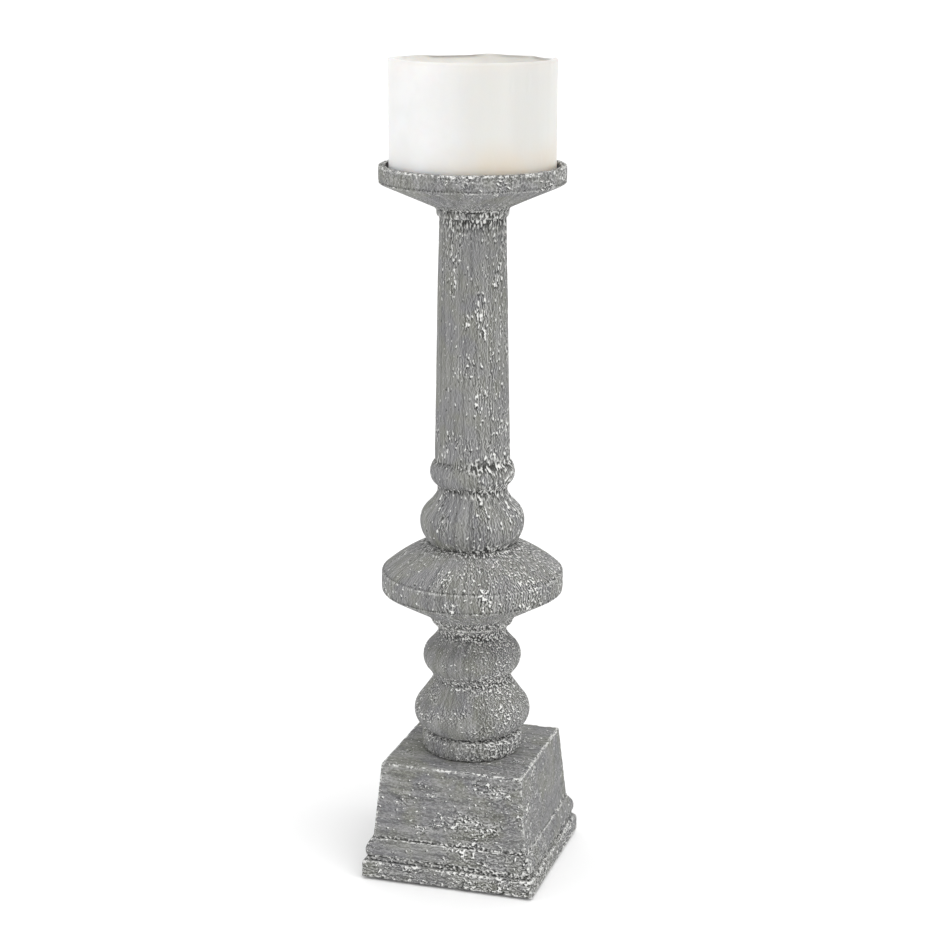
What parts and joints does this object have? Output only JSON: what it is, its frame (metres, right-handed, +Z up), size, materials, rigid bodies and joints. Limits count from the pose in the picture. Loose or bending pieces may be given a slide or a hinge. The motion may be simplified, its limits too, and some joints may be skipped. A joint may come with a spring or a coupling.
{
  "type": "wooden candlestick",
  "caption": "Turned, grey-washed wooden candlestick on a square plinth, with a wide disc knop and a dish with a spike that holds a pillar candle.",
  "frame": {"origin": "middle of the felt's lower face, where the candlestick rests on a table", "axes": "+Z up along the turned stem; the square plinth's sides face along X and Y"},
  "size_m": [0.115, 0.115, 0.5153],
  "materials": {
    "grey_wood": "turned wood with a grey wash, white limed flecks and worn edges, matt",
    "wax": "ivory white paraffin wax, satin",
    "wick": "braided cotton",
    "black_iron": "blackened iron, satin",
    "zinc_steel": "zinc-plated steel",
    "felt": "charcoal felt"
  },
  "bodies": {
    "stand": {"felt_base": "felt", "plinth_slab": "grey_wood", "plinth_moulding": "grey_wood", "plinth_block": "grey_wood", "base_screw_1": "zinc_steel", "base_screw_2": "zinc_steel", "base_screw_3": "zinc_steel", "base_screw_4": "zinc_steel", "foot_ring": "grey_wood", "lower_baluster": "grey_wood", "knop_disc": "grey_wood", "upper_column": "grey_wood", "candle_dish": "grey_wood", "wax_plate": "black_iron", "candle_spike": "black_iron", "tie_rod": "zinc_steel", "rod_washer": "zinc_steel", "lock_washer": "zinc_steel", "rod_nut": "zinc_steel"},
    "candle": {"candle_wax": "wax", "candle_wick": "wick"}
  },
  "joints": [
    {"name": "candle_lift", "type": "slide", "parent": "stand", "child": "candle", "axis": [0, 0, 1], "range_m": [0, 0.06]}
  ]
}
